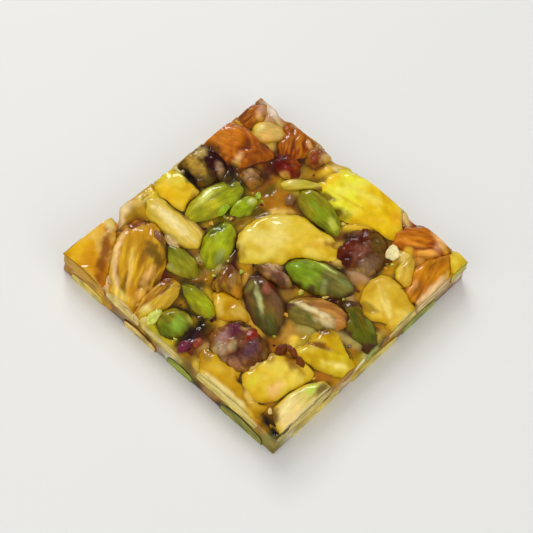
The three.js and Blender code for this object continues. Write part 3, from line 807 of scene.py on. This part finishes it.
STAINS = (
    (-14.2, 25.3, 0, 4.4, 2.6, "682404", 0.95, -0.4), (-13.4, 28.4, 0, 7, 3.6, "a07c0c", 0.7, 0),
    (-11, 27.6, 70, 5, 2.6, "bc9018", 0.7, 0), (-17.4, 27.8, 0, 3, 3, "b8941c", 0.7, 0),
    (-13.8, 19.4, 60, 3, 2, "8c5c38", 0.8, 0.1), (-6.6, 4, 34, 8, 1.5, "380810", 0.9, -0.1),
    (-10.6, 1.2, 30, 5, 2, "7c3c04", 0.6, 0), (-28.3, -3, 0, 4, 2.4, "5c1c30", 0.9, 0.1),
    (-26.2, -4.3, 0, 3, 1.6, "943c20", 0.8, 0.1), (-24.4, -1.9, 12, 8, 1.6, "1c0810", 1, -0.2),
    (-21.6, 1.6, 110, 6, 1.2, "201804", 0.9, -0.2), (-10.4, -15.8, 30, 7, 4, "c89c3c", 0.6, 0),
    (12.2, 8.4, 30, 5, 3, "a87410", 0.7, 0), (14.2, 5.2, 70, 6, 2, "5c3408", 0.8, -0.1),
    (13.2, 11.7, 0, 5, 3, "60500c", 0.95, -0.2), (15.6, 14.6, 40, 4, 2, "2c0c08", 0.9, -0.1),
    (11.3, 20.8, 60, 5, 2.4, "240808", 0.95, -0.4), (22.4, 9.6, 40, 4, 3, "98741c", 0.7, 0),
    (-13.2, -27.2, 60, 4, 3, "b46c14", 0.8, 0), (-0.4, -29.4, 0, 3, 1.8, "1c1204", 1, -0.2),
    (0.4, -19.6, 40, 4, 2, "7c5410", 0.7, 0), (-28.9, -27, 75, 6.4, 1.8, "0c0602", 1, -0.4),
    (-15.6, 6, -60, 6.4, 2.2, "4c3c0c", 0.95, -0.3), (-12, 6.6, 0, 5, 3, "947428", 0.7, 0),
    (-19, 11.4, 60, 5, 1.6, "541c04", 0.8, -0.1), (-14.4, -18.6, 0, 4, 4, "7c3c04", 0.9, 0),
    (26.6, 9.6, 0, 6, 2, "8c4410", 0.7, 0), (-25, 22.5, 37, 18, 2.6, "642804", 0.95, -0.1),
    (-19.6, 12, 30, 3.4, 2, "541804", 0.9, -0.1), (-0.2, -8.6, 80, 5, 1.6, "0c0604", 0.95, -0.2),
    (-3.6, -8.8, 0, 4, 3, "7c5c2c", 0.7, 0), (8.6, -16.6, -60, 5, 2, "a87c48", 0.6, 0),
    (2.8, 9.9, -10, 7, 1.4, "5c4404", 0.8, -0.1), (17, 9, -50, 5, 2, "74640c", 0.7, 0),
    (22.4, 20.1, 0, 3.4, 3, "d0a848", 0.9, 0.1), (27.2, 25, 40, 5, 2.6, "c89c6c", 0.95, 0.1),
    (-18.2, -4.6, 10, 5.4, 2.2, "d8b02c", 0.9, 0.15), (-29.2, 18.6, 60, 5, 2.6, "ecc07c", 0.9, 0.3),
    (-29.4, 7.6, 90, 5, 2.2, "e8d484", 0.9, 0.3), (-21.6, -16.3, 0, 6.4, 2.2, "dcb45c", 0.95, 0.4),
    (21.6, -19.4, 30, 4, 2.2, "d0ac58", 0.9, 0.1), (-6.4, 28, 80, 5, 2.6, "e8c414", 0.9, 0.3),
    (-29.6, -29.2, 45, 3, 3.4, "342c0c", 0.95, -0.1), (6.6, 10.8, -30, 5, 1.6, "604804", 0.8, 0),
    (-28.6, -29.3, -20, 4.4, 2.2, "0c0602", 1, -0.3), (-16, 1.6, 80, 4.4, 2.2, "c0a010", 0.95, 0.2),
    (7, 9, -20, 5.4, 2.2, "5c4404", 0.95, -0.3), (-14.6, -10.5, 80, 5, 2, "cc9c34", 0.95, 0.3),
    (16.9, 16.4, 50, 4.6, 2.2, "4c1408", 0.95, -0.2), (-29.4, -7.8, 90, 4.6, 2.2, "d4b840", 0.95, 0.1),
    (21.9, -20.4, 30, 3.6, 2.4, "e8c44c", 0.95, 0.3), (9.8, 19.1, 60, 4.4, 2.2, "2c1c0c", 0.95, -0.5),
    (-26.1, 11.8, 10, 6, 2.2, "ecac58", 0.95, 0.4), (-9.6, 5.2, 30, 4.4, 2, "b8a458", 0.9, 0.2),
    (21.5, 28.9, 0, 5, 2.6, "d09824", 0.9, 0.2), (17.4, 7, -50, 4.4, 2, "bca838", 0.9, 0.2),
    (-17.2, 7.5, -60, 5, 2.4, "50400c", 0.95, -0.3), (-25.3, -5.8, 0, 4.4, 2, "c09854", 0.9, 0.2),
    (-28.4, 11.2, 80, 4.4, 2.4, "e0b058", 0.95, 0.3), (20.4, 10.4, 30, 4.4, 2, "b08434", 0.9, 0.1),
    (-24.6, -3.3, 20, 4.4, 2, "3c1414", 0.95, -0.1), (-18, 28.8, 0, 5, 3, "f0d8a8", 0.95, 0),
    (29.6, 27.4, 90, 5, 2, "dccbb0", 0.9, 0), (29.6, 25.2, 90, 5, 2, "e0ccb8", 0.9, 0),
    (18.8, -7.4, -50, 4.4, 2, "d0b028", 0.95, 0.2), (-11.2, 9.4, 60, 4.4, 2, "b8a454", 0.95, 0.2),
    (5, -19, 60, 4.4, 2, "ac884c", 0.95, 0.2), (3.2, 29.6, 0, 5, 2.4, "d4bc84", 0.95, 0),
    (29.6, -13.2, 80, 6, 2, "e0c878", 0.9, 0), (28.9, -15.6, 60, 4.4, 2, "d8b074", 0.9, 0.1),
    (-13.4, 29.6, 0, 5, 2.2, "f0d89c", 0.95, 0), (-28.4, -1.6, 20, 4.4, 2, "241808", 0.95, -0.3),
    (-29.4, 14.8, 90, 5, 2.2, "f0d474", 0.95, 0.3), (10.3, 6.4, -40, 6, 2.2, "e8bc54", 0.95, 0.35),
    (-9.5, -19.4, 0, 4.4, 2.4, "bca020", 0.95, 0.3), (-8.4, 28.9, 0, 5, 2.4, "f0d474", 0.95, 0.2),
    (20.9, -20.2, 30, 3.4, 2.2, "e4c86c", 0.95, 0.3), (9.9, -11.3, -60, 3, 2, "ccac4c", 0.9, 0.2),
    (13.4, -8.2, -20, 4.4, 1.8, "cca438", 0.9, 0.1), (10.3, -16.9, -70, 5, 2.2, "c09468", 0.9, 0.1),
    (2.4, 29.4, 0, 4.4, 2.4, "d0bc74", 0.9, 0.1), (8.6, 19.3, 60, 4.4, 2.2, "342408", 0.95, -0.4),
    (28.9, 5, 80, 4.4, 2.4, "ecd884", 0.9, 0.1), (-0.5, -2.6, 60, 4, 1.8, "dcac70", 0.95, 0.2),
    (-8.8, -19, 0, 4, 2.2, "b09824", 0.9, 0.1), (2.6, -29.3, 0, 4.4, 2, "bca440", 0.9, 0.1),
    (-11.8, -18.3, 30, 5, 2.2, "f0cc44", 0.95, 0.3), (29.6, 11.4, 90, 4.4, 1.8, "d0b48c", 0.8, 0),
    (-7.8, -0.4, 20, 4.4, 1.8, "c49030", 0.95, 0.2), (26.6, 6.6, 20, 5, 2.4, "ecc030", 0.95, 0.3),
    (25.6, 26.2, 30, 5, 2.6, "ecbc84", 0.95, 0.3), (28.6, 22.3, 60, 4.4, 2, "d0b068", 0.9, 0.1),
    (-21.8, -1.9, 75, 6.6, 3.4, "140c04", 1, -0.3), (20, -8.4, -50, 7, 2.8, "dcb020", 0.9, 0.15),
    (14.7, -6.5, 10, 4.4, 2.2, "6c4008", 0.9, -0.1), (-14, -7.4, 70, 10, 2.4, "d09c2c", 0.9, 0.1),
    (-7.4, -17.8, -60, 5, 2.4, "bcaa58", 0.9, 0.1), (-3.4, -25, -80, 9, 2.2, "b4a054", 0.9, 0.1),
    (24, -22.8, 20, 6, 2.6, "d89434", 0.9, 0.1), (-27.4, -20.2, 60, 4, 2.8, "ecc454", 0.9, 0.2),
    (-15, 17.9, 70, 5, 2.8, "584404", 0.9, -0.2), (9.8, -8.6, 40, 4, 2, "9c7420", 0.6, 0),
)


def nut_surfaces():
    """One search tree of every nut piece, with the colour of each of its faces."""
    spots, faces, tints = [], [], []
    for piece in nut_pieces:
        start = len(spots)
        mesh = piece.data
        spots.extend(vert.co / MM for vert in mesh.vertices)
        colours = np.zeros(len(mesh.vertices) * 4)
        mesh.attributes["tint"].data.foreach_get("color", colours)
        colours = colours.reshape(-1, 4)[:, :3]
        for face in mesh.polygons:
            faces.append([start + i for i in face.vertices])
            tints.append(Vector(colours[face.vertices[0]]))
    return BVHTree.FromPolygons(spots, faces), tints


nuts, nut_tints = nut_surfaces()
DOWN = Vector((0, 0, -1))
UP = Vector((0, 0, 1))
AROUND = [Vector((math.cos(turn), math.sin(turn), 0)) for turn in np.linspace(0, math.tau, 8, endpoint=False)]
HIGH_ABOVE = 12    # clear of everything, in millimetres


def top_at(surfaces, x, y):
    """The highest point of some surfaces over a place in plan, or None."""
    return surfaces.ray_cast(Vector((x, y, HIGH_ABOVE)), DOWN)[0]


def crowding(spot):
    """0 in the open and 1 where nuts stand close in 5 or more of 8 directions from a spot; how much painted
    shade a gap takes.
    """
    hits = [nuts.ray_cast(spot, way, CROWDED) for way in AROUND]
    return ease(1.6, 5, sum(1 - hit[3] / CROWDED for hit in hits if hit[0]))


def seen_through(spot, toward, gap_shade, tinting):
    """The colour of the syrup's skin: mostly of what lies behind it, partly of the nearest nut, with painted
    shade against that nut and in a deep gap."""
    hit, _, face, depth = nuts.ray_cast(spot - toward * SEEN_DEPTH, toward)
    behind = nut_tints[face] if hit else BEYOND
    behind = through_syrup(behind, tinting * (1.3 * max(depth - SEEN_DEPTH, 0) if hit else 4))
    _, _, face, gap = nuts.find_nearest(spot)
    beside = through_syrup(nut_tints[face], tinting * (1.2 + 1.4 * gap))
    # painted shade against the nearest nut
    colour = (behind * 0.6 + beside * 0.4) * (1 - 0.3 * tinting * ease(1.1, 0, gap))
    # painted shade in a crowded gap, lighter in the open
    return DEEPEST * tinting + colour * (1.2 - 1.03 * gap_shade)


def blurred(values, ends, rounds):
    """Values of a mesh's points, each one mixed with its neighbours' that many times."""
    count = np.bincount(ends.ravel(), minlength=len(values))[:, None] + 1
    for _ in range(rounds):
        total = values.copy()
        np.add.at(total, ends[:, 0], values[ends[:, 1]])
        np.add.at(total, ends[:, 1], values[ends[:, 0]])
        values = total / count
    return values


def pour_level(x, y):
    """Where the syrup's level would be without the nuts, in slow and in short waves."""
    return SYRUP_LEVEL + 0.16 * grainy(x, y, 3, 9) + 0.06 * grainy(x, y, 8, 2.2)


def syrup_top(spot, share, level, gap, over):
    """The height of the syrup's top, from its level, the gap to the next nut and the nut over it."""
    climb = CLIMB * grainy(spot.x, spot.y, 20, 6)
    top = level + OPEN_RISE * ease(0.8, 2.5, gap) + climb * math.exp(-gap / CLIMB_WIDTH)
    if share > ON_TOP:
        top += marked(Vector(), spot, STAINS)[1]
    near_side = max(abs(spot.x), abs(spot.y)) > SYRUP_SIDE - CUT_REACH
    if near_side and over and over.z > level - CUT_NUT:
        top = min(top, over.z - CUT_GAP)
    return top


def spread_side(place, spot, share):
    """Moves a point of a cut side: rough, leaning outwards to its foot, and rounded at both ends."""
    push = 0.1 * grainy(spot.x, spot.y, 0.7 * spot.z, 5) + 0.07 * grainy(spot.x, spot.y, spot.z + 5, 1.6)
    push += SPREAD * (KNIFE_HEIGHT / MM - spot.z)
    push -= 0.2 * ease(0.9, 1, share) + 0.06 * ease(0.06, 0, share)
    for axis in (0, 1):
        if abs(spot[axis]) > ON_SIDE:
            place[axis] += math.copysign(push, spot[axis])


def chip_edges(place, spot, share):
    """Pulls a point in where the slab's edge chipped off."""
    for *centre, width, depth in BROKEN_EDGES:
        axis = 0 if abs(centre[0]) > abs(centre[1]) else 1
        if spot[axis] * centre[axis] > 0:
            along = abs(spot[1 - axis] - centre[1 - axis]) / width * 2
            inward = depth * ease(1.4, 0.3, along) * ease(BROKEN_REACH, 0, SYRUP_SIDE - abs(spot[axis]))
            place[axis] -= math.copysign(inward * ease(0.1, 0.8, share), spot[axis])


def syrup_colour(place, spot, share, on_side, level, gap):
    """The colour of a point of the syrup, whether on its side, its top or its underside."""
    side = 0 if abs(spot.x) > abs(spot.y) else 1
    if on_side and share > ON_FOOT:
        toward = Vector((0, 0, 0))
        toward[side] = -math.copysign(1, spot[side])
        colour = seen_through(place, toward, SIDE_GAP_SHADE, SIDE_TINTING)
    elif share > 0.5:
        # painted gap shade: from how crowded the gap is, full where a nut stands over the point
        gap_shade = crowding(Vector((spot.x, spot.y, level + 0.1))) if gap > 0.01 else 1
        colour = seen_through(place, DOWN, gap_shade, 1)
    else:
        colour = seen_through(place, UP, 0, 1)
    if share > ON_TOP:
        colour = marked(colour, spot, STAINS)[0]
    if on_side and spot[side] < 0:
        colour = marked(colour, (spot[1 - side], spot.z), SIDE_STAINS[side])[0]
    return colour


def add_piece(name, bm, material):
    """A new object in the scene, with a finished mesh and its material."""
    mesh = bpy.data.meshes.new(name)
    bm.to_mesh(mesh)
    bm.free()
    mesh.materials.append(material)
    piece = bpy.data.objects.new(name, mesh)
    scene.collection.objects.link(piece)
    return piece


bm = bmesh.new()
bmesh.ops.create_grid(bm, x_segments=SYRUP_CELLS, y_segments=SYRUP_CELLS, size=SYRUP_SIDE)
lid = bmesh.ops.extrude_face_region(bm, geom=bm.faces[:], use_keep_orig=True)["geom"]
for vert in lid:
    if isinstance(vert, bmesh.types.BMVert):
        vert.co.z = SYRUP_LEVEL
walls = [edge for edge in bm.edges if abs(edge.verts[0].co.z - edge.verts[1].co.z) > 1]
bmesh.ops.subdivide_edges(bm, edges=walls, cuts=SIDE_ROWS, use_grid_fill=True)
bmesh.ops.recalc_face_normals(bm, faces=bm.faces[:])
tint, polish, grain = add_layers(bm)
tints = []
for vert in bm.verts:
    spot = vert.co.copy()
    share = spot.z / SYRUP_LEVEL
    on_side = max(abs(spot.x), abs(spot.y)) > ON_SIDE
    level = pour_level(spot.x, spot.y)
    gap = nuts.find_nearest(Vector((spot.x, spot.y, level)))[3]
    over = top_at(nuts, spot.x, spot.y)
    if over and over.z > level:
        gap = 0
    vert.co.z = UNDERSIDE + share * (syrup_top(spot, share, level, gap, over) - UNDERSIDE)
    if on_side:
        spread_side(vert.co, spot, share)
    chip_edges(vert.co, spot, share)
    tints.append(syrup_colour(vert.co, spot, share, on_side, level, gap))
    vert[polish] = SIDE_POLISH if on_side else 1
    vert[grain] = vert.co
bm.verts.index_update()
ends = np.array([[vert.index for vert in edge.verts] for edge in bm.edges])
for vert, colour in zip(bm.verts, blurred(np.array(tints), ends, BLUR_ROUNDS)):
    vert[tint] = (*colour, 1)
for face in bm.faces:
    face.smooth = True
bmesh.ops.scale(bm, vec=(MM, MM, MM), verts=bm.verts)
syrup_finish = glazed("set syrup", 0.2, 1.5, 0.25, 0.04, ripple_scale=300, ripple_height=0.35,
                      texture_height=0.06, dullest=0.3)
syrup = add_piece("set_syrup", bm, syrup_finish)
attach(syrup, "root")
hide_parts("brittle")

# Crumbs and chips: bits that broke off the nuts while they were stirred, half sunk in the syrup. The
# lumps lie in their own places, and small chips with sharp corners are strewn between the nuts.
set_top = BVHTree.FromPolygons([vert.co / MM for vert in syrup.data.vertices],
                               [face.vertices for face in syrup.data.polygons])
strew = random.Random(11)
STREW_REACH = 29      # how far from the middle chips lie, in millimetres
CLEAR_ABOVE = 0.4     # a nut this far below the syrup's level has room for a chip over it
UNSTAINED = 0.95      # white, marked with the stains of a place, stays brighter than this if it has none
CHIP_CORNERS = 14


def place_on(spot, size):
    """Where a crumb lies: on the syrup, or on a nut if one is there, a third of it sunk in."""
    rests = [top_at(surfaces, *spot) for surfaces in (set_top, nuts)]
    return Vector((*spot, max(rest.z for rest in rests if rest) + size / 6))


def paint_crumb(bm, verts, centre, code):
    """Colours a crumb's points, darker towards the syrup that it stands in."""
    layers = bm.verts.layers
    for vert in verts:
        low = ease(0.1, -0.4, vert.co.z - centre.z)
        shade = 1 + 0.3 * noise.noise(vert.co * 1.4)
        vert[layers.float_color["tint"]] = (*through_syrup(linear(code) * shade, 1.6 * low), 1)
        vert[layers.float["polish"]] = 0.8
        vert[layers.float_vector["grain"]] = vert.co


def add_lump(bm, x, y, direction, length, width, height, code):
    """A broken piece of nut with rounded edges."""
    centre = place_on((x, y), height)
    lump = bmesh.ops.create_icosphere(bm, subdivisions=4, radius=1)["verts"]
    turn = Matrix.Rotation(math.radians(direction), 3, "Z")
    for vert in lump:
        rough = 1 + 0.4 * noise.noise(vert.co * 1.1 + centre) + 0.07 * noise.noise(vert.co * 3 + centre)
        shape = Vector((vert.co.x * length, vert.co.y * width, vert.co.z * height)) * 0.5 * rough
        vert.co = turn @ shape + centre
    paint_crumb(bm, lump, centre, code)


def add_chip(bm, spot, size, flatness, code):
    """A small chip with sharp corners."""
    centre = place_on(spot, size * flatness)
    turn = Matrix.Rotation(strew.uniform(0, math.tau), 3, "Z")
    turn = turn @ Matrix.Rotation(strew.uniform(-0.4, 0.4), 3, "X")
    half = Vector((size * strew.uniform(0.5, 0.85), size * 0.5, size * flatness * 0.5))
    corners = []
    for _ in range(CHIP_CORNERS):
        way = Vector((strew.gauss(0, 1), strew.gauss(0, 1), strew.gauss(0, 1))).normalized()
        corners.append(bm.verts.new(centre + turn @ Vector([w * h for w, h in zip(way, half)])))
    hull = bmesh.ops.convex_hull(bm, input=corners)
    inner = [part for part in hull["geom_interior"] if isinstance(part, bmesh.types.BMVert)]
    bmesh.ops.delete(bm, geom=inner, context="VERTS")
    chip = [vert for vert in corners if vert.is_valid]
    for vert in chip:
        for face in vert.link_faces:
            face.smooth = False
    paint_crumb(bm, chip, centre, code)


def open_places(count):
    """Unstained places on the syrup between the nuts."""
    places = []
    while len(places) < count:
        x, y = [strew.uniform(-STREW_REACH, STREW_REACH) for _ in range(2)]
        over = top_at(nuts, x, y)
        stained = marked(Vector((1, 1, 1)), (x, y), STAINS)[0].x < UNSTAINED
        if not stained and (over is None or over.z < SYRUP_LEVEL - CLEAR_ABOVE):
            places.append((x, y))
    return places


def crumb_piece(name, lumps, chips, smallest, largest, flatness, codes, material):
    """One piece of crumbs of a kind: the lumps in their places, and so many strewn chips.

    A lump is its place, direction, length, width, height and colour."""
    bm = bmesh.new()
    add_layers(bm)
    for lump in lumps:
        add_lump(bm, *lump)
    for face in bm.faces:
        face.smooth = True
    for spot in open_places(chips):
        add_chip(bm, spot, strew.uniform(smallest, largest), flatness, strew.choice(codes))
    bmesh.ops.recalc_face_normals(bm, faces=bm.faces[:])
    bmesh.ops.scale(bm, vec=(MM, MM, MM), verts=bm.verts)
    piece = add_piece(name, bm, material)
    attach(piece, "root")


crumb_piece("pale_crumbs",
            ((20.1, -18.0, 20, 3.9, 2.9, 1.8, "ecdca0"), (-27.6, 6.3, 10, 4.6, 2.2, 1.1, "ccd060"),
             (-12.2, 16.6, 80, 4.4, 1.6, 0.9, "c8a870")),
            22, 0.4, 1.2, 0.6, ("e0c078", "d0a040", "c89030", "d8b860"), flesh_finish)
crumb_piece("skin_crumbs",
            ((-28.4, -3.1, 0, 3.4, 2.2, 1.3, "6c2438"), (-26.0, -4.3, 20, 2.4, 1.5, 1.0, "984428"),
             (-13.8, 19.2, 60, 2.8, 1.6, 0.9, "845438"), (-14.9, -17.4, 10, 3.4, 2.0, 1.0, "642c04"),
             (-13.5, -19.4, 80, 3.2, 1.7, 0.9, "743404"), (-14.2, -22.0, 70, 2.8, 1.6, 0.8, "6c3404"),
             (-12.0, 8.2, 70, 2.0, 1.1, 1.5, "74500c"), (14.2, 6.8, 30, 3.0, 2.0, 0.9, "7c5430")),
            32, 0.5, 1.4, 0.25, ("6c2c14", "4c1c10", "8c4c1c", "3c1010", "5c3410"), skin_finish)
crumb_piece("green_crumbs",
            ((1.4, 14.6, 10, 4.0, 1.6, 0.9, "94ac1c"), (10.2, 12.4, 40, 1.8, 1.2, 0.8, "a4b43c")),
            14, 0.4, 1.1, 0.7, ("98a828", "7c8c1c", "b4bc48"), pistachio_finish)

# The setting: a plain pale floor, a pale room that darkens towards its ceiling, and soft lights above.
FLOOR_SIZE = 3
floor_finish = bpy.data.materials.new("floor")
floor_finish.use_nodes = True
floor_shader = floor_finish.node_tree.nodes["Principled BSDF"]
floor_shader.inputs["Base Color"].default_value = (0.80, 0.80, 0.79, 1)
floor_shader.inputs["Roughness"].default_value = 0.55
bm = bmesh.new()
bmesh.ops.create_grid(bm, x_segments=1, y_segments=1, size=FLOOR_SIZE)
floor = add_piece("floor", bm, floor_finish)

world = bpy.data.worlds.new("room")
world.use_nodes = True
room = world.node_tree
direction = add_node(room, "TexCoord")
parts = add_node(room, "SeparateXYZ")
brightness = add_node(room, "MapRange", from_max=0.7, to_min=0.3, to_max=0.14)
join(room,
     (direction.outputs["Generated"], parts.inputs["Vector"]),
     (parts.outputs["Z"], brightness.inputs["Value"]),
     (brightness.outputs["Result"], room.nodes["Background"].inputs["Strength"]))
room.nodes["Background"].inputs["Color"].default_value = (1, 1, 1, 1)
scene.world = world


def add_light(name, place, size, power, colour, in_reflections=False):
    """A square soft light, aimed at the middle of the floor."""
    data = bpy.data.lights.new(name, "AREA")
    data.shape = "SQUARE"
    data.size = size
    data.energy = power
    data.color = colour
    lamp = bpy.data.objects.new(name, data)
    lamp.location = place
    lamp.rotation_mode = "QUATERNION"
    lamp.rotation_quaternion = (-Vector(place)).to_track_quat("-Z", "Y")
    lamp.visible_glossy = in_reflections
    scene.collection.objects.link(lamp)


add_light("key", (0.30, 0.62, 0.72), 0.6, 4.2, (1, 0.98, 0.94))
add_light("overhead", (0, 0, 1), 1.2, 3.4, (1, 1, 0.99))
add_light("left fill", (-0.8, 0.05, 0.42), 0.8, 3.2, (1, 0.99, 0.97))
add_light("right fill", (-0.05, -0.8, 0.42), 0.8, 3.2, (1, 0.99, 0.97))
add_light("window", (0.52, 0.67, 0.53), 0.22, 1.3, (1, 1, 1), in_reflections=True)

scene.view_settings.view_transform = "Standard"
